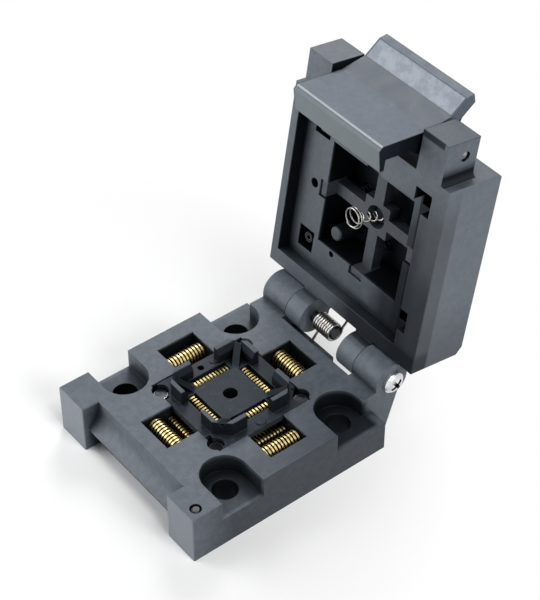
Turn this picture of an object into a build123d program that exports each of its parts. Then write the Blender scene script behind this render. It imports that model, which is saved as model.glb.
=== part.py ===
from build123d import *
from math import atan2, cos, degrees, radians, sin
import os

os.makedirs("parts", exist_ok=True)

# Flip-lid test socket for a 44-lead quad flat package, in millimetres.
# X runs along the hinge, Y from the latch side to the hinge side, Z up.
# The origin is under the middle of the chip seat, on the underside of the base.

# contact rows; every "_r" value is a distance from the middle of the chip
contact_spacing = 0.8
contacts_per_side = 11
row_length = (contacts_per_side - 1) * contact_spacing
strip_width = 0.42
strip_thickness = 0.22
tail_r = 17.9
arch_inner_r = 14.5
arch_top_z = 10.8
arch_radius = (tail_r - arch_inner_r) / 2 - 0.02
arch_foot_z = 8.0
loop_bottom_z = 6.6
loop_r = 12.9
loop_top_z = 9.0
loop_inner_r = 11.8
run_start_r = 11.55
run_z = 7.5              # level run under the floating plate
tip_r = 7.6
tip_end_r = 6.0
tip_top_z = 11.35
tip_end_z = 10.45
bend_radius = 0.45
tail_end_z = 0.3

# base block
half_width = 23.3
front_y = -23.4
rear_y = 22.4
deck_z = 11.9
ear_front_y = -27.0
ear_width = 8.65
edge_round = 0.3

# catch on the front face, between the two front ears
catch_y = -25.7
catch_z = 5.2
catch_lip = 0.3
catch_top_y = -22.9

# dimple and small pin in the front right ear
dimple_x = half_width - 2.4
dimple_y = ear_front_y + 2.5
dimple_radius = 1.25
dimple_depth = 0.8
corner_pin_radius = 1.0

# screw recesses
screw_x = half_width - 6.1
screw_y = 14.6
screw_hole_radius = 2.75
recess_radius = 5.1
recess_z = 7.3

# hinge
hinge_y = 27.6
hinge_z = 12.9
hinge_radius = 4.2
ear_outer_x = half_width - 4.46
ear_inner_x = 11.25
ear_foot_y = 26.6
ear_back_y = 30.0
ear_back_z = 10.9
pivot_radius = 1.25
pivot_reach = 3.01       # how far each screw reaches into its barrel
pivot_length = ear_outer_x - ear_inner_x + pivot_reach
head_radius = 2.5
head_height = 1.8
press_clearance = 0.03
running_clearance = 0.08
open_angle = 98.9

# lid spring, wound round a spigot on the left barrel
spring_radius = 1.85
spring_wire = 0.6
spring_start_x = -4.7
spring_pitch = 0.66
spring_leg_angle = 50
spring_leg = 6.4
spigot_radius = 1.2
spigot_end_x = 0.9
ledge_y = 26.2
ledge_z = 7.6
ledge_end_x = 1.9

# openings in the deck
plate_opening = 23.5
window_reach = tail_r + 1.54
window_width = row_length + 1.3
seat_web_top_z = 6.2
seat_web_bottom_z = 2.3

# retainer under the base
retainer_half = plate_opening / 2 + 1.25
retainer_reach = window_reach + 1.16
retainer_arm = window_width + 3.1
retainer_gap = 0.15
retainer_bottom_z = 0.25
retainer_screw = 6.2
retainer_screw_radius = 0.8
retainer_head_radius = 1.5
retainer_screw_length = 4.6
retainer_slot = 1.8

# floating plate
plate_gap = 0.2
plate_side = plate_opening - 2 * plate_gap
plate_bottom_z = 8.9
plate_top_z = 11.7
lip_z = 9.7
corner_step_x = plate_side / 2 - 4.85
corner_step_y = plate_side / 2 - 1.15
channel_z = 10.1
tip_slot_inner_r = tip_end_r - 0.35
tip_slot_outer_r = tip_r + 0.55
tip_slot_width = row_length + 1.1
seat_hole_radius = 1.6
post_outer = plate_side / 2 - 1.55
post_wall = 1.7
post_inner = post_outer - post_wall
post_corner = 3.0
post_end = 3.3
post_top_z = 15.4
post_lead_in = 0.8
rib_width = 1.5
rib_start = 5.2
rib_drop = 0.5
spring_seat = plate_side / 2 - 3.25
spring_pocket_radius = 1.7
spring_pocket_z = 10.4

# guide pins of the floating plate
guide_x = plate_side / 2 - 2.0
guide_y = plate_side / 2 - 0.6
guide_radius = 0.8
guide_head_radius = 1.45
guide_head_z = lip_z + 0.15
guide_head_height = 0.7
guide_pocket_radius = 1.85

# lid, drawn closed: y is minus the distance from the hinge axis, z the height over it
lid_half_width = half_width - 0.1
lid_root = 4.7
lid_tip = 49.5
lid_face = 0.4
lid_top = 14.5
lid_rim = 2.0
tray_near = 8.3
tray_far = 43.0
tray_floor = 3.3
tray_right_x = lid_half_width - 6.2
end_block_half = 15.9
well_half = 12.4
well_floor = 11.5
chip_u = hinge_y
latch_ear_inner_x = 13.5
latch_ear_outer_x = lid_half_width - 2.55
latch_ear_tip = 58.5
latch_ear_height = 8.8
shoulder_round = 1.2
left_barrel_x = -6.3
right_barrel_x = 5.9
barrel_gap = 0.15
boss_radius = 1.7
boss_end_v = 7.9
side_boss_x = -7.9
side_boss_u = 19.3
side_boss_end_v = 3.6

# ring-headed studs in the corner pockets of the lid
stud_left_x = lid_half_width - 7.2
stud_right_x = lid_half_width - 6.4
stud_places = (
    (-stud_left_x, tray_far - 1.0),
    (stud_right_x, tray_far + 0.5),
    (-stud_left_x, tray_near + 5.0),
    (stud_right_x, tray_near + 6.7),
)
stud_pocket_width = 4.6
stud_pocket_length = 5.2
stud_pocket_floor = 6.2
stud_radius = 1.15
stud_height = 2.2

# latch; its profile is given from the pivot, outward and upward
latch_half = latch_ear_inner_x - 0.6
pivot_u = 54.8
pivot_v = 5.6
pin_radius = 1.1
pin_half = latch_ear_outer_x - 0.45
spring_bay_half = 3.2
spring_bay_width = 4.8
latch_profile = (
    (2.1, -14.8),
    (2.4, -3.0),
    (3.9, 2.7),
    (7.1, 6.0),
    (7.5, 7.9),
    (5.5, 8.6),
    (2.8, 5.8),
    (-0.4, 4.6),
    (-2.6, 3.2),
    (-3.6, 1.4),
    (-3.6, -3.4),
    (-1.1, -7.0),
    (-1.1, -13.5),
    (-3.6, -13.5),
    (-3.6, -14.4),
    (1.2, -15.5),
)

# pressure pad, with a tongue at the end of each arm that runs in a slot of the lid
pad_face = 6.4
pad_back = 9.0
pad_arm = 2.8
pad_hub = 7.4
pad_bore_radius = 2.6
pad_gap = 0.25
tongue_width = 3.6
tongue_face = 3.7
slot_depth = 2.0
pad_spring_r = 8.5
pad_spring_places = ((-pad_spring_r, 0), (pad_spring_r, 0), (0, -pad_spring_r), (0, pad_spring_r))
pad_spring_radius = 1.1
small_wire = 0.3

# wire spring on the middle boss: narrow coils, then a wide eye at its free end
eye_radius = 2.4
eye_turns = 1.6
neck_radius = 1.0
neck_turns = 3.0
flare_turns = 0.75
neck_start_v = 7.7
neck_end_v = 1.8
flare_end_v = 0.2
eye_end_v = -0.65
presser_wire = 0.34
presser_lean = 2.2


def row_offsets():
    middle = (contacts_per_side - 1) / 2
    return [(index - middle) * contact_spacing for index in range(contacts_per_side)]


def open_lid(part):
    """Turns a piece drawn in the closed lid's frame to the open lid."""
    return part.moved(Location((0, hinge_y, hinge_z), (-open_angle, 0, 0)))


def save(part, name):
    part.label = name
    export_step(part, f"parts/{name}.step")


def coil(radius, wire, turns, pitch_height):
    """A plain coil spring standing on the XY plane."""
    with BuildPart() as spring:
        with BuildLine():
            Helix(pitch=pitch_height, height=pitch_height * turns, radius=radius)
        with BuildSketch(Plane(origin=(radius, 0, 0), z_dir=(0, 1, 0))):
            Circle(wire / 2)
        sweep(is_frenet=True)
    return spring.part


# Base block

with BuildPart() as base_body:
    with BuildSketch(Plane.YZ):
        with BuildLine():
            Polyline((rear_y, 0), (rear_y, deck_z), (catch_top_y, deck_z))
            Spline(
                (catch_top_y, deck_z),
                (front_y - 0.1, catch_z + 2.6),
                (catch_y, catch_z + catch_lip),
                tangents=((-0.03, -1), (-1, -0.95)),
            )
            Polyline(
                (catch_y, catch_z + catch_lip),
                (catch_y, catch_z),
                (front_y, catch_z),
                (front_y, 0),
                (rear_y, 0),
            )
        make_face()
    extrude(amount=half_width, both=True)

    # front ears
    ear_depth = front_y + 1 - ear_front_y
    for side in (-1, 1):
        with BuildSketch(Plane.XY):
            with Locations((side * (half_width - ear_width / 2), ear_front_y + ear_depth / 2)):
                Rectangle(ear_width, ear_depth)
        extrude(amount=deck_z)

    # hinge ears, rounded over the hinge axis
    for side in (-1, 1):
        inner = ear_inner_x if side > 0 else -ear_outer_x
        with BuildSketch(Plane.YZ.offset(inner)):
            with BuildLine():
                Polyline(
                    (rear_y - 3, 0),
                    (ear_foot_y, 0),
                    (ear_back_y, ear_back_z),
                    (hinge_y, hinge_z),
                    (hinge_y - hinge_radius, hinge_z),
                    (hinge_y - hinge_radius, deck_z),
                    (rear_y - 3, deck_z),
                    close=True,
                )
            make_face()
            with Locations((hinge_y, hinge_z)):
                Circle(hinge_radius)
        extrude(amount=ear_outer_x - ear_inner_x)

    # ledge behind the rear wall, under the lid spring
    with BuildSketch(Plane.XY):
        with Locations(((ledge_end_x - ear_inner_x) / 2, (rear_y - 1 + ledge_y) / 2)):
            Rectangle(ear_inner_x + ledge_end_x, ledge_y - rear_y + 1)
    extrude(amount=ledge_z)

    # screw recesses, open to the sides; the rear pair also runs out behind the hinge ears
    with BuildSketch(Plane.XY.offset(recess_z)):
        for side in (-1, 1):
            reach = half_width + 1 - screw_x
            for end in (-1, 1):
                with Locations((side * screw_x, end * screw_y)):
                    Circle(recess_radius)
                with Locations((side * (screw_x + reach / 2), end * screw_y)):
                    Rectangle(reach, 2 * recess_radius)
            shoulder = half_width + 1 - ear_outer_x
            with Locations((side * (ear_outer_x + shoulder / 2), rear_y - 2)):
                Rectangle(shoulder, 10)
    extrude(amount=deck_z, mode=Mode.SUBTRACT)

    # opening for the floating plate, contact windows and guide pin pockets
    with BuildSketch(Plane.XY.offset(seat_web_top_z)):
        Rectangle(plate_opening, plate_opening)
        with Locations(*[(x * guide_x, y * guide_y) for x in (-1, 1) for y in (-1, 1)]):
            Circle(guide_pocket_radius)
    extrude(amount=deck_z, mode=Mode.SUBTRACT)
    with BuildSketch(Plane.XY.offset(-1)):
        for side in (-1, 1):
            middle = (window_reach + plate_opening / 2) / 2
            length = window_reach - plate_opening / 2
            with Locations((side * middle, 0)):
                Rectangle(length, window_width)
            with Locations((0, side * middle)):
                Rectangle(window_width, length)
    extrude(amount=deck_z + 2, mode=Mode.SUBTRACT)

    # pocket for the retainer
    with BuildSketch(Plane.XY):
        Rectangle(2 * retainer_half, 2 * retainer_half)
        Rectangle(2 * retainer_reach, retainer_arm)
        Rectangle(retainer_arm, 2 * retainer_reach)
    extrude(amount=seat_web_bottom_z, mode=Mode.SUBTRACT)

    # mounting, guide pin and retainer screw holes
    with Locations(*[(x * screw_x, y * screw_y, 0) for x in (-1, 1) for y in (-1, 1)]):
        Cylinder(screw_hole_radius, 2 * deck_z, mode=Mode.SUBTRACT)
    pin_hole_depth = seat_web_top_z - seat_web_bottom_z + 1
    with Locations(*[(x * guide_x, y * guide_y, seat_web_top_z) for x in (-1, 1) for y in (-1, 1)]):
        Cylinder(guide_radius + press_clearance, 2 * pin_hole_depth, mode=Mode.SUBTRACT)
    with Locations(*[(x * retainer_screw, y * retainer_screw, seat_web_bottom_z)
                     for x in (-1, 1) for y in (-1, 1)]):
        Cylinder(retainer_screw_radius + press_clearance, 2 * 3.0, mode=Mode.SUBTRACT)

    # hinge bores, spring leg hole, dimple in the front right ear
    with Locations(Location((0, hinge_y, hinge_z), (0, 90, 0))):
        Cylinder(pivot_radius + press_clearance, 2 * half_width, mode=Mode.SUBTRACT)
    leg_start = Location((spring_start_x, hinge_y, hinge_z), (spring_leg_angle, 0, 0))
    with Locations(leg_start * Location((0, 0, -spring_radius), (90, 0, 0))):
        Cylinder(
            spring_wire / 2 + 0.12,
            spring_leg + 0.3,
            align=(Align.CENTER, Align.CENTER, Align.MIN),
            mode=Mode.SUBTRACT,
        )
    with Locations((dimple_x, dimple_y, deck_z)):
        Cylinder(dimple_radius, 2 * dimple_depth, mode=Mode.SUBTRACT)

    # crisp moulded edges, lightly rounded
    front_corners = base_body.edges().filter_by(Axis.Z).filter_by_position(
        Axis.Y, ear_front_y - 0.01, ear_front_y + 0.01
    )
    fillet(front_corners, radius=edge_round)
    deck_front = base_body.edges().filter_by(Axis.X).filter_by_position(
        Axis.Y, ear_front_y - 0.01, ear_front_y + 0.01
    ).filter_by_position(Axis.Z, deck_z - 0.01, deck_z + 0.01)
    fillet(deck_front, radius=edge_round)

save(base_body.part, "base_body")

with BuildPart() as contact_retainer:
    height = seat_web_bottom_z - 0.05 - retainer_bottom_z
    with BuildSketch(Plane.XY.offset(retainer_bottom_z)):
        Rectangle(2 * (retainer_half - retainer_gap), 2 * (retainer_half - retainer_gap))
        Rectangle(2 * (retainer_reach - retainer_gap), retainer_arm - 2 * retainer_gap)
        Rectangle(retainer_arm - 2 * retainer_gap, 2 * (retainer_reach - retainer_gap))
    extrude(amount=height)
    with BuildSketch(Plane.XY.offset(retainer_bottom_z)):
        slot_length = strip_thickness + 0.12
        slot_width = strip_width + 0.1
        for offset_along in row_offsets():
            for side in (-1, 1):
                with Locations((offset_along, side * tail_r)):
                    Rectangle(slot_width, slot_length)
                with Locations((side * tail_r, offset_along)):
                    Rectangle(slot_length, slot_width)
    extrude(amount=height, mode=Mode.SUBTRACT)
    with Locations(*[(x * retainer_screw, y * retainer_screw, retainer_bottom_z)
                     for x in (-1, 1) for y in (-1, 1)]):
        Cylinder(retainer_screw_radius + 0.1, 10, mode=Mode.SUBTRACT)
        Cylinder(retainer_head_radius + 0.1, 2 * 1.1, mode=Mode.SUBTRACT)

save(contact_retainer.part, "contact_retainer")

with BuildPart() as retainer_screws:
    with Locations(*[(x * retainer_screw, y * retainer_screw, retainer_bottom_z + 0.1)
                     for x in (-1, 1) for y in (-1, 1)]):
        Cylinder(retainer_head_radius, 1.0, align=(Align.CENTER, Align.CENTER, Align.MIN))
        Cylinder(retainer_screw_radius, retainer_screw_length, align=(Align.CENTER, Align.CENTER, Align.MIN))
        Box(retainer_slot, 0.4, 0.8, mode=Mode.SUBTRACT)

save(retainer_screws.part, "retainer_screws")

# One contact is a stamped strip, curled up in its window and reaching in under the plate

with BuildPart() as contact:
    with BuildLine(Plane.YZ) as strip_path:
        outer = FilletPolyline(
            (-tail_r, tail_end_z),
            (-tail_r, arch_top_z),
            (-arch_inner_r, arch_top_z),
            (-arch_inner_r, arch_foot_z),
            radius=arch_radius,
        )
        inner = FilletPolyline(
            (-arch_inner_r, arch_foot_z),
            (-arch_inner_r, loop_bottom_z),
            (-loop_r, loop_bottom_z),
            (-loop_r, loop_top_z),
            (-loop_inner_r, loop_top_z),
            (-run_start_r, run_z),
            (-tip_r, run_z),
            (-tip_r, tip_top_z),
            (-tip_end_r, tip_top_z),
            (-tip_end_r, tip_end_z),
            radius=bend_radius,
        )
    with BuildSketch(Plane(origin=(0, -tail_r, tail_end_z), z_dir=(0, 0, 1))):
        Rectangle(strip_width, strip_thickness)
    sweep()

row_names = ["contacts_front", "contacts_right", "contacts_rear", "contacts_left"]
for index, name in enumerate(row_names):
    with BuildPart() as row:
        with Locations(*[(offset_along, 0, 0) for offset_along in row_offsets()]):
            add(contact.part)
    save(row.part.rotate(Axis.Z, 90 * index), name)

# Floating plate with its chip guides, guide pins and springs

with BuildPart() as floating_plate:
    with BuildSketch(Plane.XY.offset(plate_bottom_z)):
        Rectangle(plate_side, plate_side)
    extrude(amount=plate_top_z - plate_bottom_z)

    # corner steps under the guide pin heads
    step_length = plate_side / 2 + 1 - corner_step_x
    with BuildSketch(Plane.XY.offset(lip_z)):
        for x in (-1, 1):
            for y in (-1, 1):
                with Locations((x * (corner_step_x + step_length / 2), y * (corner_step_y + 1))):
                    Rectangle(step_length, 2)
                with Locations((x * guide_x, y * guide_y)):
                    Circle(guide_pocket_radius)
    extrude(amount=plate_top_z, mode=Mode.SUBTRACT)

    # channels for the contacts, and slots their tips come through
    reach = plate_side / 2 + 1 - tip_slot_inner_r
    slot = tip_slot_outer_r - tip_slot_inner_r
    with BuildSketch(Plane.XY.offset(plate_bottom_z - 1)):
        for side in (-1, 1):
            with Locations((side * (tip_slot_inner_r + reach / 2), 0)):
                Rectangle(reach, tip_slot_width)
            with Locations((0, side * (tip_slot_inner_r + reach / 2))):
                Rectangle(tip_slot_width, reach)
    extrude(amount=channel_z - plate_bottom_z + 1, mode=Mode.SUBTRACT)
    with BuildSketch(Plane.XY.offset(plate_bottom_z - 1)):
        for side in (-1, 1):
            with Locations((side * (tip_slot_inner_r + slot / 2), 0)):
                Rectangle(slot, tip_slot_width)
            with Locations((0, side * (tip_slot_inner_r + slot / 2))):
                Rectangle(tip_slot_width, slot)
    extrude(amount=10, mode=Mode.SUBTRACT)

    # corner posts that steer the chip down on to its seat: two walls and a sloping rib each
    for turn in range(4):
        with BuildSketch(Plane.XY.offset(plate_top_z - 0.5)):
            with BuildLine(mode=Mode.PRIVATE) as post_outline:
                Polyline(
                    (post_end, post_inner),
                    (post_inner, post_inner),
                    (post_inner, post_end),
                    (post_outer, post_end),
                    (post_outer, post_outer - post_corner),
                    (post_outer - post_corner, post_outer),
                    (post_end, post_outer),
                    close=True,
                )
            make_face(post_outline.line.rotate(Axis.Z, 90 * turn), mode=Mode.ADD)
        extrude(amount=post_top_z - plate_top_z + 0.5)
    with BuildSketch(Plane.XY.offset(post_top_z)):
        Rectangle(2 * (post_inner + post_lead_in), 2 * (post_inner + post_lead_in))
    with BuildSketch(Plane.XY.offset(post_top_z - 2 * post_lead_in)):
        Rectangle(2 * post_inner, 2 * post_inner)
    loft(mode=Mode.SUBTRACT)
    for turn in range(4):
        outward = Vector(1, 0, 0).rotate(Axis.Z, 45 + 90 * turn)
        across = Vector(0, -1, 0).rotate(Axis.Z, 45 + 90 * turn)
        with BuildSketch(Plane(origin=(0, 0, 0), x_dir=outward, z_dir=across)):
            with BuildLine():
                Polyline(
                    (rib_start * 2 ** 0.5, plate_top_z - 0.5),
                    (rib_start * 2 ** 0.5, plate_top_z + 0.1),
                    (post_inner * 2 ** 0.5, post_top_z - rib_drop),
                    (post_inner * 2 ** 0.5, plate_top_z - 0.5),
                    close=True,
                )
            make_face()
        extrude(amount=rib_width / 2, both=True)

    # seat hole, sight hole, spring pockets, guide pin holes
    Cylinder(seat_hole_radius, 40, mode=Mode.SUBTRACT)
    with Locations((-9.7, -0.4, plate_top_z)):
        Cylinder(0.75, 2.2, mode=Mode.SUBTRACT)
    with Locations(*[(x * spring_seat, y * spring_seat, plate_bottom_z) for x in (-1, 1) for y in (-1, 1)]):
        Cylinder(spring_pocket_radius, 2 * (spring_pocket_z - plate_bottom_z), mode=Mode.SUBTRACT)
    with Locations(*[(x * guide_x, y * guide_y, lip_z) for x in (-1, 1) for y in (-1, 1)]):
        Cylinder(guide_radius + 0.15, 6, mode=Mode.SUBTRACT)
    with Locations((1.55 - plate_side / 2, 3.1, plate_top_z), (plate_side / 2 - 1.35, -0.1, plate_top_z)):
        Cylinder(1.1, 0.5)

save(floating_plate.part, "floating_plate")

with BuildPart() as guide_pins:
    with Locations(*[(x * guide_x, y * guide_y, seat_web_bottom_z + 0.4) for x in (-1, 1) for y in (-1, 1)]):
        Cylinder(guide_radius, guide_head_z - seat_web_bottom_z, align=(Align.CENTER, Align.CENTER, Align.MIN))
    with Locations(*[(x * guide_x, y * guide_y, guide_head_z) for x in (-1, 1) for y in (-1, 1)]):
        Cylinder(guide_head_radius, guide_head_height, align=(Align.CENTER, Align.CENTER, Align.MIN))

save(guide_pins.part, "guide_pins")

plate_spring = coil(spring_pocket_radius - 0.5, small_wire, 3.5, 1.0)
with BuildPart() as plate_springs:
    with Locations(*[(x * spring_seat, y * spring_seat, seat_web_top_z + 0.25) for x in (-1, 1) for y in (-1, 1)]):
        add(plate_spring)

save(plate_springs.part, "plate_springs")

with BuildPart() as corner_pin:
    with Locations((dimple_x, dimple_y, deck_z - dimple_depth + 0.05)):
        Cylinder(corner_pin_radius, 0.6, align=(Align.CENTER, Align.CENTER, Align.MIN))
    fillet(corner_pin.edges().sort_by(Axis.Z)[-1], radius=0.35)

save(corner_pin.part, "corner_pin")

# Hinge screws, one in each ear

with BuildPart() as hinge_screw:
    with BuildSketch(Plane.XZ):
        with BuildLine():
            Polyline(
                (0, 0),
                (-pivot_length, 0),
                (-pivot_length, pivot_radius - 0.3),
                (-pivot_length + 0.3, pivot_radius),
                (0.05, pivot_radius),
                (0.05, head_radius),
                (head_height * 0.45, head_radius),
            )
            RadiusArc((head_height * 0.45, head_radius), (head_height, 0), 3.1)
            Line((head_height, 0), (0, 0))
        make_face()
    revolve(axis=Axis.X)
    with Locations((head_height, 0, 0)):
        Box(1.9, 0.75, 3.0, mode=Mode.SUBTRACT)
        Box(1.9, 3.0, 0.75, mode=Mode.SUBTRACT)

with BuildPart() as hinge_screws:
    with Locations(
        Location((ear_outer_x, hinge_y, hinge_z), (35, 0, 0)),
        Location((-ear_outer_x, hinge_y, hinge_z), (10, 0, 180)),
    ):
        add(hinge_screw.part)

save(hinge_screws.part, "hinge_screws")

# Lid spring: the lower leg rests in the base, the upper one in the lid

lid_leg_angle = 180 - open_angle
spring_turns = 8 + (lid_leg_angle - spring_leg_angle) / 360
coil_length = spring_pitch * spring_turns
with BuildPart() as lid_spring:
    with BuildLine():
        end_turn = lid_leg_angle - spring_leg_angle
        coil_end = Vector(spring_radius, 0, coil_length).rotate(Axis.Z, end_turn)
        along_lid = Vector(0, 1, 0).rotate(Axis.Z, end_turn)
        Line((spring_radius, -spring_leg, 0), (spring_radius, 0, 0))
        Helix(pitch=spring_pitch, height=coil_length, radius=spring_radius)
        Spline(
            coil_end,
            coil_end + along_lid * 2.6 + Vector(0, 0, 0.8),
            coil_end + along_lid * spring_leg + Vector(0, 0, 1.2),
            tangents=(along_lid, along_lid),
        )
    with BuildSketch(Plane(origin=(spring_radius, -spring_leg, 0), z_dir=(0, 1, 0))):
        Circle(spring_wire / 2)
    sweep()

spring_plane = Plane(origin=(spring_start_x, hinge_y, hinge_z), x_dir=(0, 0, -1), z_dir=(1, 0, 0))
spring_place = spring_plane.location * Location((0, 0, 0), (0, 0, spring_leg_angle))
save(lid_spring.part.moved(spring_place), "lid_spring")

# Lid, drawn closed in its own frame and then opened

lid_leg_x = coil_length + 1.2
with BuildPart() as lid_body:
    with BuildSketch(Plane.YZ):
        with BuildLine():
            Polyline(
                (-lid_root, lid_face),
                (-lid_tip, lid_face),
                (-lid_tip, lid_top - 0.6),
                (-lid_tip + 0.6, lid_top),
                (-lid_root - 1.7, lid_top),
                (-lid_root, lid_top - 1.3),
                close=True,
            )
        make_face()
    extrude(amount=lid_half_width, both=True)

    # latch ears, with a small round where they meet the shoulder of the lid
    for side in (-1, 1):
        with BuildSketch(Plane.XY.offset(lid_face)):
            with BuildLine():
                shoulder_x = side * latch_ear_outer_x
                round_end = (shoulder_x + side * shoulder_round, -lid_tip)
                Polyline(
                    round_end,
                    (shoulder_x + side * shoulder_round, -lid_tip + 1),
                    (side * latch_ear_inner_x, -lid_tip + 1),
                    (side * latch_ear_inner_x, -latch_ear_tip),
                    (shoulder_x, -latch_ear_tip),
                    (shoulder_x, -lid_tip - shoulder_round),
                )
                TangentArc((shoulder_x, -lid_tip - shoulder_round), round_end, tangent=(0, 1))
            make_face()
        extrude(amount=latch_ear_height - lid_face)

    # shallow tray inside the rim, raised block at the latch end, central well
    tray_width = tray_right_x + lid_half_width - lid_rim
    with BuildSketch(Plane.XY):
        with Locations(((tray_right_x - lid_half_width + lid_rim) / 2, -(tray_near + tray_far) / 2)):
            Rectangle(tray_width, tray_far - tray_near)
        corner = lid_half_width - lid_rim - end_block_half
        with Locations((-end_block_half - corner / 2, -tray_far - 1.5)):
            Rectangle(corner, 5)
    extrude(amount=tray_floor, mode=Mode.SUBTRACT)
    with BuildSketch(Plane.XY):
        with Locations((0, -chip_u)):
            Rectangle(2 * well_half, 2 * well_half)
            Rectangle(2 * (well_half + slot_depth), tongue_width + 2 * pad_gap)
            Rectangle(tongue_width + 2 * pad_gap, 2 * (well_half + slot_depth))
    extrude(amount=well_floor, mode=Mode.SUBTRACT)

    # corner pockets
    with BuildSketch(Plane.XY):
        with Locations(*[(x, -u) for x, u in stud_places]):
            Rectangle(stud_pocket_width, stud_pocket_length)
    extrude(amount=stud_pocket_floor, mode=Mode.SUBTRACT)

    # sight holes in the tray floor
    with Locations((-16.1, -chip_u, tray_floor)):
        Cylinder(1.1, 5, mode=Mode.SUBTRACT)
    with Locations((-7.8, -14.2, tray_floor)):
        Cylinder(0.7, 4, mode=Mode.SUBTRACT)

    # pockets for the pad springs
    with Locations(*[(x, y - chip_u, well_floor) for x, y in pad_spring_places]):
        Cylinder(pad_spring_radius + 0.5, 2 * 1.8, mode=Mode.SUBTRACT)

    # bosses in the well: one in the middle for the wire spring, one to the side
    with Locations((0, -chip_u, well_floor)):
        Cylinder(boss_radius, well_floor - boss_end_v, align=(Align.CENTER, Align.CENTER, Align.MAX))
    with Locations((side_boss_x, -side_boss_u, well_floor)):
        Cylinder(boss_radius, well_floor - side_boss_end_v, align=(Align.CENTER, Align.CENTER, Align.MAX))
    fillet(lid_body.edges().filter_by(GeomType.CIRCLE).filter_by_position(
        Axis.Z, side_boss_end_v - 0.01, side_boss_end_v + 0.01), radius=0.6)

    # hinge barrels
    for start, end in ((-ear_inner_x + barrel_gap, left_barrel_x), (right_barrel_x, ear_inner_x - barrel_gap)):
        with BuildSketch(Plane.YZ.offset(start)):
            Circle(hinge_radius)
            with BuildLine():
                Polyline(
                    (0, lid_face),
                    (-lid_root - 1, lid_face),
                    (-lid_root - 1, 8.0),
                    (-lid_root, 8.0),
                    (0, hinge_radius),
                    close=True,
                )
            make_face()
        extrude(amount=end - start)
    for side in (-1, 1):
        with Locations(Location((side * ear_inner_x, 0, 0), (0, 90, 0))):
            Cylinder(pivot_radius + running_clearance, 2 * (pivot_reach + 0.19), mode=Mode.SUBTRACT)
    with Locations(Location((left_barrel_x - 1, 0, 0), (0, 90, 0))):
        Cylinder(
            spigot_radius,
            spigot_end_x - left_barrel_x + 1,
            align=(Align.CENTER, Align.CENTER, Align.MIN),
        )

    # latch pin bore, spring leg hole
    with Locations(Location((0, -pivot_u, pivot_v), (0, 90, 0))):
        Cylinder(pin_radius + press_clearance, 3 * lid_half_width, mode=Mode.SUBTRACT)
    with Locations(Location((spring_start_x + lid_leg_x, -lid_root, spring_radius), (90, 0, 0))):
        Cylinder(spring_wire / 2 + 0.2, 2 * (spring_leg - lid_root + 0.3), mode=Mode.SUBTRACT)

save(open_lid(lid_body.part), "lid_body")

with BuildPart() as lid_studs:
    with Locations(*[(x, -u, stud_pocket_floor) for x, u in stud_places]):
        Cylinder(stud_radius, stud_height, align=(Align.CENTER, Align.CENTER, Align.MAX))
    with Locations(*[(x, -u, stud_pocket_floor - stud_height) for x, u in stud_places]):
        Cylinder(stud_radius / 2, 1.4, mode=Mode.SUBTRACT)

save(open_lid(lid_studs.part), "lid_studs")

with BuildPart() as pressure_pad:
    arm_length = 2 * (well_half + slot_depth - pad_gap)
    with BuildSketch(Plane.XY.offset(pad_face)):
        with Locations((0, -chip_u)):
            Rectangle(arm_length, pad_arm)
            Rectangle(pad_arm, arm_length)
            Rectangle(pad_hub, pad_hub)
    extrude(amount=pad_back - pad_face)
    tongue_length = slot_depth - 2 * pad_gap
    tongue_r = well_half + pad_gap + tongue_length / 2
    with BuildSketch(Plane.XY.offset(tongue_face)):
        for side in (-1, 1):
            with Locations((side * tongue_r, -chip_u)):
                Rectangle(tongue_length, tongue_width)
            with Locations((0, side * tongue_r - chip_u)):
                Rectangle(tongue_width, tongue_length)
    extrude(amount=pad_back - tongue_face)
    with Locations((0, -chip_u, pad_face)):
        Cylinder(pad_bore_radius, 10, mode=Mode.SUBTRACT)

save(open_lid(pressure_pad.part), "pressure_pad")

pad_spring = coil(pad_spring_radius, small_wire, 3.0, 0.95)
with BuildPart() as pad_springs:
    with Locations(*[(x, y - chip_u, pad_back + 0.2) for x, y in pad_spring_places]):
        add(pad_spring)

save(open_lid(pad_springs.part), "pad_springs")

def presser_point(turn):
    """A point on the wire spring's middle line, a number of turns from its foot on the boss."""
    if turn < neck_turns:
        radius = neck_radius
        depth = neck_start_v + (neck_end_v - neck_start_v) * turn / neck_turns
    elif turn < neck_turns + flare_turns:
        share = (turn - neck_turns) / flare_turns
        radius = neck_radius + (eye_radius - neck_radius) * share
        depth = neck_end_v + (flare_end_v - neck_end_v) * share
    else:
        share = (turn - neck_turns - flare_turns) / eye_turns
        radius = eye_radius - 0.5 * share
        depth = flare_end_v + (eye_end_v - flare_end_v) * share
    lean = presser_lean * (neck_start_v - depth) / (neck_start_v - eye_end_v)
    angle = radians(360 * turn)
    return (radius * cos(angle), radius * sin(angle) - lean - chip_u, depth)


presser_turns = neck_turns + flare_turns + eye_turns
presser_steps = round(presser_turns * 12)
presser_points = [presser_point(presser_turns * step / presser_steps) for step in range(presser_steps + 1)]
with BuildPart() as presser_spring:
    with BuildLine() as presser_path:
        Spline(*presser_points)
    with BuildSketch(Plane(origin=presser_path.line @ 0, z_dir=presser_path.line % 0)):
        Circle(presser_wire / 2)
    sweep()

save(open_lid(presser_spring.part), "presser_spring")

# Latch lever with its thumb lip and hook

with BuildPart() as latch_lever:
    with BuildSketch(Plane.YZ):
        with BuildLine():
            Polyline(*[(-pivot_u - out, pivot_v + up) for out, up in latch_profile], close=True)
        make_face()
    extrude(amount=latch_half, both=True)
    with BuildSketch(Plane.YZ):
        with Locations((-pivot_u + spring_bay_width / 2, pivot_v)):
            Rectangle(2 * spring_bay_width, spring_bay_width)
    extrude(amount=spring_bay_half, both=True, mode=Mode.SUBTRACT)
    with Locations(Location((0, -pivot_u, pivot_v), (0, 90, 0))):
        Cylinder(pin_radius + running_clearance, 3 * latch_half, mode=Mode.SUBTRACT)

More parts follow.
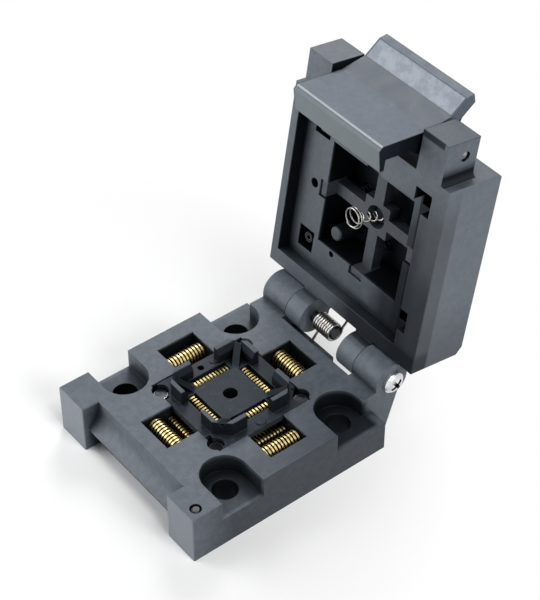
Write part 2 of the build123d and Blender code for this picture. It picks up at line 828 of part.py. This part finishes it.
save(open_lid(latch_lever.part), "latch_lever")

with BuildPart() as latch_pin:
    with Locations(Location((0, -pivot_u, pivot_v), (0, 90, 0))):
        Cylinder(pin_radius, 2 * pin_half)
    chamfer(latch_pin.edges().filter_by(GeomType.CIRCLE), length=0.25)

save(open_lid(latch_pin.part), "latch_pin")

latch_coil = coil(1.62, 0.5, 6.0, 0.75)
coil_place = Location((-2.25, -pivot_u, pivot_v), (0, 90, 0))
save(open_lid(latch_coil.moved(coil_place)), "latch_spring")
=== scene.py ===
import bpy
import math
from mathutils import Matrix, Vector

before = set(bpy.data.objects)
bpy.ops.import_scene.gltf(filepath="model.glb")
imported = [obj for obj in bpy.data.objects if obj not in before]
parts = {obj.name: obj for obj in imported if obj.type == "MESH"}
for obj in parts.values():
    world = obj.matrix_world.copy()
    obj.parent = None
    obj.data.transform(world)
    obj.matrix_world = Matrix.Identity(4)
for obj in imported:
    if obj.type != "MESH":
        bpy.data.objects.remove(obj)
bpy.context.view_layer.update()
mm = 0.001
hinge = {"y": 27.6 * mm, "z": 12.9 * mm, "angle": math.radians(98.9)}    # the hinge line, and how far the lid is open
print("socket frame loaded,", len(parts), "nodes")


# shader maths written as plain expressions

class Wire:
    def __init__(self, tree, socket):
        self.tree = tree
        self.socket = socket

    def maths(self, operation, *others):
        inputs = dict(enumerate([self, *others]))
        return addNode(self.tree, "ShaderNodeMath", inputs, operation=operation)

    def __add__(self, other):
        return self.maths("ADD", other)

    def __mul__(self, other):
        return self.maths("MULTIPLY", other)

    def __sub__(self, other):
        return self.maths("SUBTRACT", other)

    def __rsub__(self, other):
        return (self * -1.0).maths("ADD", other)

    __radd__ = __add__
    __rmul__ = __mul__

    def clamp(self):
        return self.maths("MAXIMUM", 0.0).maths("MINIMUM", 1.0)


def plug(tree, target, value):
    if isinstance(value, Wire):
        tree.links.new(value.socket, target)
    else:
        target.default_value = value


def addNode(tree, kind, inputs=None, out=0, **settings):
    # any node: its settings first, then the values or links of its sockets
    made = tree.nodes.new(kind)
    for key, value in settings.items():
        setattr(made, key, value)
    for key, value in (inputs or {}).items():
        plug(tree, made.inputs[key], value)
    return Wire(tree, made.outputs[out])


edgeLook = {"flat": 0.995, "sharp": 0.8, "samples": 6}    # how far an edge's normal turns away from its face
opennessSamples = 10


class Finish:
    # one material: a Principled shader and short ways to feed it

    def __init__(self, name):
        self.material = bpy.data.materials.new(name)
        self.material.use_nodes = True
        self.tree = self.material.node_tree
        self.shader = self.tree.nodes["Principled BSDF"]
        self.place = self.node("ShaderNodeTexCoord", out="Object")

    def node(self, kind, inputs=None, out=0, **settings):
        return addNode(self.tree, kind, inputs, out, **settings)

    def set(self, name, value):
        plug(self.tree, self.shader.inputs[name], value)

    def noise(self, size, detail=3.0, rough=0.5, vector=None):
        # size is the width of one blotch in metres
        return self.node("ShaderNodeTexNoise", {
            "Vector": vector or self.place, "Scale": 1.0 / size, "Detail": detail, "Roughness": rough})

    def ramp(self, value, low, high):
        # 0 below low, 1 above high
        return self.node("ShaderNodeMapRange", {
            "Value": value, "From Min": low, "From Max": high, "To Min": 0.0, "To Max": 1.0})

    def blendColours(self, mask, first, second):
        first, second = (colour if isinstance(colour, Wire) else (*colour, 1.0) for colour in (first, second))
        return self.node("ShaderNodeMix", {0: mask, 6: first, 7: second}, out=2, data_type="RGBA")

    def rounded(self, width):
        return self.node("ShaderNodeBevel", {"Radius": width}, samples=edgeLook["samples"])

    def edges(self, width):
        # 0 on faces, 1 on sharp edges
        face = self.node("ShaderNodeNewGeometry", out="Normal")
        facing = self.node("ShaderNodeVectorMath", {0: self.rounded(width), 1: face}, out="Value",
                           operation="DOT_PRODUCT")
        return self.ramp(facing, edgeLook["flat"], edgeLook["sharp"])

    def openness(self, reach, low, high):
        # 1 on open faces, falling to 0 deep inside wells, windows and pockets
        seen = self.node("ShaderNodeAmbientOcclusion", {"Distance": reach}, out="AO",
                         samples=opennessSamples, only_local=True)
        return self.ramp(seen, low, high)

    def axes(self, inLid):
        # x, y and z of the open socket, or x, u and v of the lid: u runs from hinge to latch, v out of its back
        parted = [self.node("ShaderNodeSeparateXYZ", {"Vector": self.place}, out=axis) for axis in "XYZ"]
        if not inLid:
            return parted
        across, up = parted[1] - hinge["y"], parted[2] - hinge["z"]
        lean, rise = math.cos(hinge["angle"]), math.sin(hinge["angle"])
        return [parted[0], up * rise - across * lean, across * rise + up * lean]

    def inBox(self, inLid, spans, soft):
        # 1 inside the spans in millimetres, fading to 0 over the soft width, one for all axes or one each
        mask = None
        widths = soft if isinstance(soft, tuple) else (soft,) * 3
        for wire, span, width in zip(self.axes(inLid), spans, widths):
            if span:
                low = self.ramp(wire, (span[0] - width) * mm, span[0] * mm)
                high = self.ramp(wire, (span[1] + width) * mm, span[1] * mm)
                mask = low * high if mask is None else mask * (low * high)
        return mask

    def bump(self, height, depth, rounding=None):
        inputs = {"Height": height, "Distance": depth, "Strength": 1.0}
        if rounding:
            inputs["Normal"] = self.rounded(rounding)
        self.set("Normal", self.node("ShaderNodeBump", inputs))


def dress(nodeNames, material):
    for nodeName in nodeNames:
        for materialSlot in parts[nodeName].material_slots:
            materialSlot.material = material
    print(material.name, "on", ", ".join(nodeNames))


# shades: boxes that take another colour, most of them painted light or painted shade, with spans and soft widths in
# millimetres

deep = (0.010, 0.013, 0.017)    # painted shade: the black that stands in for shadow in wells and pockets, without gloss


def baseShade(share, tint, soft, x=None, y=None, z=None):
    return {"share": share, "tint": tint, "soft": soft, "inLid": False, "spans": (x, y, z)}


def lidShade(share, tint, soft, x=None, u=None, v=None):
    return {"share": share, "tint": tint, "soft": soft, "inLid": True, "spans": (x, u, v)}


# mouldings

def mouldedPlastic(name, look):
    # glass-filled plastic: fine grain, short pale fibres, smudges, paler scuffed edges that also carry a painted
    # highlight, painted shade in its hollows and boxes of painted light and shade
    finish = Finish(name)
    cloud = finish.noise(look["cloudSize"], detail=4.0)
    stretched = finish.node("ShaderNodeMapping", {
        "Vector": finish.place, "Scale": look["fibreStretch"], "Rotation": look["fibreTurn"]})
    fibres = finish.ramp(finish.noise(look["fibreSize"], detail=2.0, vector=stretched), *look["fibreRange"])
    specks = finish.ramp(finish.noise(look["speckSize"], detail=1.0), *look["speckRange"])
    smudges = finish.ramp(finish.noise(look["smudgeSize"], detail=5.0, rough=0.65), *look["smudgeRange"])
    mottle = finish.ramp(cloud, *look["cloudRange"]) * 0.5 + smudges * 0.5
    colour = finish.blendColours(mottle, look["dark"], look["light"])
    flecks = (fibres * look["fibreShare"] + specks * look["speckShare"]).clamp() * look["flecks"]
    colour = finish.blendColours(flecks, colour, look["fleck"])
    # paler edges: scuffing, and a painted highlight where edges catch the light
    scuffedAndLitEdges = finish.edges(look["edgeWidth"]) * finish.ramp(finish.noise(look["wearSize"]), *look["wearRange"])
    colour = finish.blendColours((scuffedAndLitEdges * look["edgeWearAndHighlight"]).clamp(), colour, look["wornAndLitEdge"])
    # painted shade: hollows darken to the cavity colour
    clear = finish.openness(look["cavityReach"], *look["cavityRange"])
    colour = finish.blendColours(clear, look["cavity"], colour)
    dulled = 1.0 - clear    # faces painted black as shade are made metallic, which takes their pale gloss away
    for shade in look["shades"]:
        mask = finish.inBox(shade["inLid"], shade["spans"], shade["soft"]) * shade["share"]
        colour = finish.blendColours(mask, colour, shade["tint"])
        if shade["tint"] == deep:
            dulled = dulled.maths("MAXIMUM", mask)
    # pale streaks in noisy patches, where a look asks for them
    if "paleStreaks" in look:
        paleStreaks = look["paleStreaks"]
        streaks = finish.ramp(finish.noise(paleStreaks["size"], detail=6.0, rough=0.7), *paleStreaks["range"])
        streaks = streaks * finish.inBox(True, paleStreaks["spans"], paleStreaks["soft"]) * paleStreaks["share"]
        colour = finish.blendColours(streaks, colour, paleStreaks["tint"])
    finish.set("Metallic", dulled)
    finish.set("Base Color", colour)
    finish.set("Roughness", finish.ramp(cloud, *look["roughRange"]) * look["roughSpread"] + look["roughness"])
    finish.set("Specular IOR Level", look["specular"])
    grain = finish.noise(look["grainSize"], detail=2.0)
    ripples = finish.noise(look["rippleSize"], detail=1.0)
    height = grain * look["grainAmount"] + ripples * look["rippleAmount"]
    finish.bump(height, look["grainDepth"], look["edgeWidth"])
    return finish.material


socketPlastic = {
    "dark": (0.074, 0.087, 0.106), "light": (0.114, 0.134, 0.160), "specular": 0.35,
    "cloudSize": 3.5 * mm, "cloudRange": (0.3, 0.7), "smudgeSize": 1.4 * mm, "smudgeRange": (0.42, 0.58),
    "fleck": (0.30, 0.33, 0.36), "flecks": 0.5,
    "fibreSize": 0.5 * mm, "fibreStretch": (1.0, 0.22, 1.0), "fibreTurn": (0.2, 0.1, 0.6),
    "fibreRange": (0.66, 0.74), "fibreShare": 0.35,
    "speckSize": 0.22 * mm, "speckRange": (0.70, 0.76), "speckShare": 0.5,
    "wornAndLitEdge": (0.32, 0.36, 0.40), "edgeWearAndHighlight": 0.40, "wearSize": 1.5 * mm, "wearRange": (0.3, 0.75),
    "edgeWidth": 0.22 * mm,
    "roughness": 0.44, "roughSpread": 0.14, "roughRange": (0.2, 0.8),
    "grainSize": 0.12 * mm, "grainAmount": 0.6, "rippleSize": 2.1 * mm, "rippleAmount": 0.6,
    "grainDepth": 0.02 * mm,
    # painted shade: the colour that hollows darken to, and how far it reaches
    "cavity": (0.008, 0.010, 0.013), "cavityReach": 9 * mm, "cavityRange": (0.36, 0.80),
    "shades": (),
}

basePlastic = dict(socketPlastic, shades=(
    baseShade(0.90, deep, 0.4, x=(-5.2, 5.2), y=(-20, 20), z=(0, 11.2)),    # painted shade in the front and rear windows
    baseShade(0.90, deep, 0.4, x=(-20, 20), y=(-5.2, 5.2), z=(0, 11.2)),    # painted shade in the side windows
    baseShade(0.90, deep, 0.4, x=(-12, 12), y=(-12, 12), z=(0, 11.2)),      # painted shade in the plate's opening
    # painted shade in the screw recesses: front right, rear right, front left, rear left
    baseShade(0.66, deep, (1.0, 1.2, 1.2), x=(11.6, 22.1), y=(-20.2, -9), z=(0, 10.6)),
    baseShade(0.85, deep, (1.0, 1.2, 1.2), x=(11.6, 22.1), y=(9, 20.2), z=(0, 10.6)),
    baseShade(0.45, deep, (1.0, 2.5, 2.5), x=(-22.1, -11.6), y=(-20.2, -9), z=(0, 8.4)),
    baseShade(0.40, deep, (1.0, 2.5, 2.5), x=(-22.1, -11.6), y=(9, 20.2), z=(0, 8.4)),
    baseShade(0.65, (0.24, 0.27, 0.30), 0.2, y=(-27.4, -26.95)),            # painted light on the front faces of the ears
    baseShade(0.52, deep, (0.1, 9.0, 1.0), x=(23.2, 24), y=(-17, 24), z=(0, 12)),    # painted shade on the right side wall
    baseShade(0.40, (0.22, 0.25, 0.28), 0.9, x=(11.9, 12.9), y=(-25.7, -24.3), z=(11, 13)),    # right ear's foot
    baseShade(0.38, (0.026, 0.033, 0.042), (6.0, 9.0, 0.2), x=(19, 24), y=(-12, 21), z=(11.6, 12.1)),    # painted shade on the deck, right
))
dress(["base_body"], mouldedPlastic("mouldedBase", basePlastic))

lidPlastic = dict(socketPlastic, dark=(0.092, 0.108, 0.130), light=(0.122, 0.143, 0.170), shades=(
    # painted shade: the inner face darkens towards the hinge and towards the right
    lidShade(0.40, (0.020, 0.026, 0.034), (0.1, 40.0, 0.5), x=(-23.0, 23.0), u=(2, 8), v=(-2, 12)),
    lidShade(0.62, (0.014, 0.018, 0.024), (10.0, 10.0, 0.5), x=(17, 23.1), u=(0, 40), v=(-1, 4)),
    # painted shade: black in the well and in the strip of tray to its right, and a lighter dark grey on the well's
    # left boss
    lidShade(0.93, deep, (0.4, 0.6, 0.6), x=(-21.0, 21.0), u=(8.6, 47), v=(4.0, 12)),
    lidShade(0.92, deep, 0.1, x=(14.0, 17.2), u=(8, 43), v=(3.0, 3.5)),
    lidShade(0.25, (0.050, 0.062, 0.064), 0.3, x=(-10.2, -5.8), u=(17.0, 21.6), v=(3.4, 9)),
    lidShade(0.80, deep, (6.0, 2.0, 0.5), x=(3, 23.0), u=(4.6, 8), v=(-1, 4)),       # painted shade on the hinge end of the rim
    lidShade(0.10, (0.24, 0.28, 0.32), (0.1, 9.0, 1.0), x=(23.15, 24), u=(22, 60)),    # painted light on the right side, by the latch
    lidShade(0.93, deep, (0.1, 0.1, 2.5), x=(-13.5, 13.5), u=(49.4, 49.6), v=(0.6, 4.5)),    # painted shade under the latch
    lidShade(0.50, (0.04, 0.05, 0.065), 0.1, x=(13.4, 20.7), u=(58.3, 58.6)),        # painted shade on the end of the right latch ear
    # painted shade on the tray and rim, right of the well
    lidShade(0.75, deep, (5.0, 7.0, 0.2), x=(9, 17.2), u=(8, 24), v=(2.9, 3.6)),
    lidShade(0.70, deep, (1.2, 7.0, 0.2), x=(12.6, 17.2), u=(8, 34), v=(2.9, 3.6)),
    lidShade(0.50, deep, (2.5, 8.0, 0.2), x=(16.9, 18), u=(8, 34), v=(0, 0.6)),
    lidShade(0.45, deep, (4.0, 8.0, 0.2), x=(17, 23.1), u=(4, 24), v=(-1, 0.6)),
    # painted shade on the foot, the lower edge and the inner sides of the latch ears
    lidShade(0.92, deep, 0.05, x=(20.6, 22.4), u=(49.56, 51.4)),
    lidShade(0.75, deep, (0.05, 1.8, 0.1), x=(20.6, 22.4), u=(51.4, 51.5)),
    lidShade(0.85, deep, (0.2, 0.5, 0.1), x=(13.0, 19.6), u=(57.4, 59), v=(-3, 0.6)),
    lidShade(0.95, deep, 0.1, x=(-13.6, -13.3), u=(49.7, 59)),
    lidShade(0.95, deep, 0.1, x=(13.3, 13.6), u=(49.7, 59)),
    lidShade(0.90, deep, (0.1, 0.3, 0.2), x=(-21.4, -20.9), u=(8.4, 47.8), v=(0.7, 12)),    # painted shade on the left wall of the tray
    lidShade(0.45, (0.022, 0.028, 0.038), (0.1, 14.0, 0.1), x=(23.1, 24), u=(-5, 6)),    # painted shade on the right side, by the hinge
))
dress(["lid_body"], mouldedPlastic("mouldedLid", lidPlastic))

platePlastic = dict(socketPlastic, dark=(0.026, 0.032, 0.042), light=(0.036, 0.044, 0.056), roughness=0.46,
                    specular=0.15, shades=(
    baseShade(0.90, deep, 0.7, z=(0, 9.9)),                       # painted shade on all below the plate's lip
    baseShade(0.72, deep, 0.2, z=(12.1, 15.1)),                   # painted shade on the walls of the corner posts
    baseShade(0.50, (0.14, 0.165, 0.195), 0.1, z=(15.3, 15.6)),    # painted highlight on the tops of the posts
))
dress(["floating_plate", "contact_retainer"], mouldedPlastic("mouldedPlate", platePlastic))

padPlastic = dict(socketPlastic, dark=(0.050, 0.059, 0.072), light=(0.066, 0.077, 0.094), roughness=0.40,
                  cavityRange=(0.12, 0.50))
dress(["pressure_pad"], mouldedPlastic("mouldedPad", padPlastic))

# pale streaks on the thumb lip
thumbStreaks = {"share": 0.5, "tint": (0.52, 0.56, 0.62), "size": 3 * mm, "range": (0.44, 0.60),
              "spans": ((-12.3, 12.3), (58.9, 61.6), (8.5, 11.4)), "soft": 0.3}
latchPlastic = dict(socketPlastic, dark=(0.057, 0.077, 0.106), light=(0.076, 0.101, 0.138), roughness=0.38,
                    edgeWearAndHighlight=0.85, paleStreaks=thumbStreaks, shades=(
    lidShade(0.55, (0.036, 0.046, 0.060), 0.3, x=(-12.8, 12.8), u=(57, 58.9), v=(2.8, 8.3)),    # painted shade below the thumb lip
    lidShade(0.50, (0.22, 0.25, 0.25), 0.1, x=(-12.8, 12.8), u=(51.0, 56.5), v=(-10, -8.75)),    # painted light on the end of the hook
    lidShade(0.85, (0.46, 0.50, 0.53), 0.12, x=(-12.7, 12.7), u=(56.75, 57.05), v=(-9.4, -9.0)),    # painted highlight along its lower edge
    lidShade(0.85, (0.33, 0.37, 0.43), 0.15, x=(-12.5, 12.5), u=(58.8, 61.7), v=(8.4, 11.5)),    # painted light on the thumb lip
    lidShade(0.92, deep, 0.1, x=(12.8, 13.2), u=(38, 57.2)),      # painted shade on the right side, inside the ear
    lidShade(0.92, deep, 0.1, x=(-13.2, -12.8), u=(38, 57.2)),    # painted shade on the left side, inside the ear
))
dress(["latch_lever"], mouldedPlastic("mouldedLatch", latchPlastic))

glossyDot = dict(socketPlastic, dark=(0.006, 0.007, 0.008), light=(0.010, 0.011, 0.013), roughness=0.22, edgeWearAndHighlight=0.0,
                 roughSpread=0.05, specular=0.35, grainDepth=0.004 * mm, flecks=0.0)
dress(["corner_pin"], mouldedPlastic("glossyDot", glossyDot))


# metal pieces

def platedMetal(name, look):
    # plated or bare metal, with fine marks and dulled patches, painted shade in its hollows, and where a look asks, a
    # painted highlight on its rims and painted shade on the cut sides of strips
    finish = Finish(name)
    patches = finish.noise(look["patchSize"])
    colour = finish.blendColours(finish.ramp(patches, *look["patchRange"]), look["light"], look["dull"])
    # a painted highlight on the rims
    if "rim" in look:
        colour = finish.blendColours(finish.edges(look["rimWidth"]), colour, look["rim"])
    # painted shade on the cut sides of the strips, on their low parts and on their tips under the plate
    if "cutAxis" in look:
        normal = finish.node("ShaderNodeNewGeometry", out="True Normal")
        facing = finish.node("ShaderNodeSeparateXYZ", {"Vector": normal}, out=look["cutAxis"]).maths("ABSOLUTE")
        cut = finish.ramp(facing, *look["cutRange"]) * look["cutShare"]
        colour = finish.blendColours(cut, colour, look["cavity"])
        low = finish.ramp(finish.axes(False)[2], *look["lowSpan"]) * look["lowShare"]
        tips = finish.inBox(False, look["tipSpans"], look["tipSoft"]) * look["tipShare"]
        colour = finish.blendColours(low.maths("MAXIMUM", tips), colour, look["cavity"])
    # painted shade: hollows darken to the cavity colour
    clear = finish.openness(look["cavityReach"], *look["cavityRange"])
    finish.set("Base Color", finish.blendColours(clear, look["cavity"], colour))
    finish.set("Metallic", 1.0)
    finish.set("Roughness", finish.ramp(patches, *look["roughRange"]) * look["roughSpread"] + look["roughness"])
    finish.bump(finish.noise(look["lineSize"], detail=2.0), look["lineDepth"])
    return finish.material


# painted shade: the cut sides of the strips, their low parts and their tips under the plate are darker, where shade
# falls between and under them
contactGold = {
    "light": (0.74, 0.59, 0.27), "dull": (0.46, 0.36, 0.16), "patchSize": 1.2 * mm, "patchRange": (0.35, 0.7),
    "roughness": 0.30, "roughSpread": 0.14, "roughRange": (0.3, 0.8), "lineSize": 0.15 * mm, "lineDepth": 0.01 * mm,
    "cavity": (0.030, 0.022, 0.010), "cavityReach": 0.5 * mm, "cavityRange": (0.30, 0.75),
    "cutRange": (0.5, 0.8), "cutShare": 0.85, "lowSpan": (10.2 * mm, 7.0 * mm), "lowShare": 0.8,
    "tipSpans": ((-8.8, 8.8), (-8.8, 8.8), None), "tipSoft": 0.4, "tipShare": 0.6,
}
dress(["contacts_front", "contacts_rear"], platedMetal("contactGoldX", dict(contactGold, cutAxis="X")))
dress(["contacts_right", "contacts_left"], platedMetal("contactGoldY", dict(contactGold, cutAxis="Y")))

springSteel = {
    "light": (0.44, 0.42, 0.40), "dull": (0.24, 0.235, 0.23), "patchSize": 1.5 * mm, "patchRange": (0.35, 0.7),
    "roughness": 0.22, "roughSpread": 0.16, "roughRange": (0.3, 0.8), "lineSize": 0.2 * mm, "lineDepth": 0.006 * mm,
    "cavity": (0.015, 0.015, 0.016), "cavityReach": 0.5 * mm, "cavityRange": (0.30, 0.75),
}
dress(["lid_spring", "presser_spring", "plate_springs"], platedMetal("springSteel", springSteel))

screwSteel = dict(springSteel, light=(0.80, 0.81, 0.82), dull=(0.60, 0.61, 0.63), roughness=0.20,
                  cavityReach=1.4 * mm)
dress(["hinge_screws", "retainer_screws"], platedMetal("screwSteel", screwSteel))

latchPinSteel = dict(springSteel, light=(0.52, 0.53, 0.54), dull=(0.10, 0.105, 0.11), roughness=0.30,
                     patchSize=0.8 * mm)
dress(["latch_pin"], platedMetal("latchPinSteel", latchPinSteel))

# guide pins: dark, partly as painted shade, with a painted highlight on their rims
pinSteel = dict(springSteel, light=(0.05, 0.055, 0.06), dull=(0.03, 0.032, 0.036), roughness=0.30,
                rim=(0.75, 0.76, 0.78), rimWidth=0.16 * mm)
dress(["guide_pins"], platedMetal("pinSteel", pinSteel))

# lid studs: dark, partly as painted shade, with a faint painted highlight on their rims
studSteel = dict(springSteel, light=(0.03, 0.032, 0.036), dull=(0.02, 0.021, 0.024), roughness=0.35,
                 rim=(0.22, 0.23, 0.25), rimWidth=0.2 * mm)
dress(["lid_studs"], platedMetal("studSteel", studSteel))

hiddenSteel = dict(springSteel, light=(0.05, 0.052, 0.056), dull=(0.03, 0.031, 0.034), roughness=0.45)
dress(["pad_springs", "latch_spring"], platedMetal("hiddenSteel", hiddenSteel))


# studio

paper = {
    "size": 1.6, "colour": (0.95, 0.95, 0.95), "roughness": 0.85, "specular": 0.1,
    "shadowMiddle": (-0.025, -0.035, 0.0), "fade": (0.038, 0.090),    # the shadow shows up to here, in metres
}


def makeFloor():
    # paper that is plain white to the camera away from the socket, and keeps the shadow near it
    bpy.ops.object.select_all(action="DESELECT")
    bpy.ops.mesh.primitive_plane_add(size=paper["size"], location=(0, 0, 0))
    floor = bpy.context.object
    floor.name = "studioFloor"
    bpy.ops.object.transform_apply(location=True, rotation=True, scale=True)
    finish = Finish("palePaper")
    finish.set("Base Color", (*paper["colour"], 1.0))
    finish.set("Roughness", paper["roughness"])
    finish.set("Specular IOR Level", paper["specular"])
    away = finish.node("ShaderNodeVectorMath", {0: finish.place, 1: paper["shadowMiddle"]}, out="Value",
                       operation="DISTANCE")
    direct = finish.node("ShaderNodeLightPath", out="Is Camera Ray")
    mirrored = finish.node("ShaderNodeLightPath", out="Is Glossy Ray")
    glow = finish.node("ShaderNodeEmission", {"Color": (1, 1, 1, 1), "Strength": 1.0})
    mixed = finish.node("ShaderNodeMixShader", {
        0: (direct + mirrored).clamp() * finish.ramp(away, *paper["fade"]),
        1: Wire(finish.tree, finish.shader.outputs[0]), 2: glow})
    plug(finish.tree, finish.tree.nodes["Material Output"].inputs["Surface"], mixed)
    floor.data.materials.append(finish.material)


makeFloor()

worldFill = 0.02    # the light that the world gives


def makeWorld():
    # white where it is seen, straight or by reflection, and almost no light on the socket
    world = bpy.data.worlds.new("paleStudio")
    bpy.context.scene.world = world
    world.use_nodes = True
    tree = world.node_tree
    seen = sum(addNode(tree, "ShaderNodeLightPath", out=ray)
               for ray in ("Is Camera Ray", "Is Glossy Ray", "Is Transmission Ray"))
    background = tree.nodes["Background"]
    background.inputs["Color"].default_value = (1, 1, 1, 1)
    plug(tree, background.inputs["Strength"], seen.clamp() * (1.0 - worldFill) + worldFill)


makeWorld()

lamps = {
    "size": 0.22, "aim": (0, 0.01, 0.02),
    "powerAndPlace": {
        "frontLowLamp": (0.40, (-0.30, -0.25, 0.12)),
        "frontNearLamp": (0.28, (-0.13, -0.19, 0.09)),
        "frontLamp": (0.32, (-0.30, -0.20, 0.33)),
        "rearLamp": (1.22, (-0.30, 0.30, 0.40)),
        "sideLamp": (1.20, (0.45, 0.0, 0.33)),
        "topLamp": (1.26, (0.25, 0.0, 0.60)),
    },
}


def makeLamp(name, power, place):
    lamp = bpy.data.lights.new(name, "AREA")
    lamp.energy = power
    lamp.size = lamps["size"]
    holder = bpy.data.objects.new(name, lamp)
    bpy.context.collection.objects.link(holder)
    holder.location = place
    aim = Vector(lamps["aim"]) - Vector(place)
    holder.rotation_euler = aim.to_track_quat("-Z", "Y").to_euler()


for lampName, (power, place) in lamps["powerAndPlace"].items():
    makeLamp(lampName, power, place)

lens = {"focal": 111.5, "sensor": 36.0, "clip": (0.01, 10.0),
        "place": (0.21613, -0.16039, 0.28637), "azimuth": 51.68, "elevation": 42.73}


def makeCamera():
    camera = bpy.data.cameras.new("photoCamera")
    camera.lens = lens["focal"]
    camera.sensor_width = lens["sensor"]
    camera.clip_start, camera.clip_end = lens["clip"]
    holder = bpy.data.objects.new("photoCamera", camera)
    bpy.context.collection.objects.link(holder)
    holder.location = lens["place"]
    turn, tilt = math.radians(lens["azimuth"]), math.radians(lens["elevation"])
    back = Vector((math.sin(turn) * math.cos(tilt), -math.cos(turn) * math.cos(tilt), math.sin(tilt)))
    holder.rotation_euler = (-back).to_track_quat("-Z", "Y").to_euler()
    bpy.context.scene.camera = holder


makeCamera()
bpy.context.scene.view_settings.view_transform = "Standard"
print("studio ready")
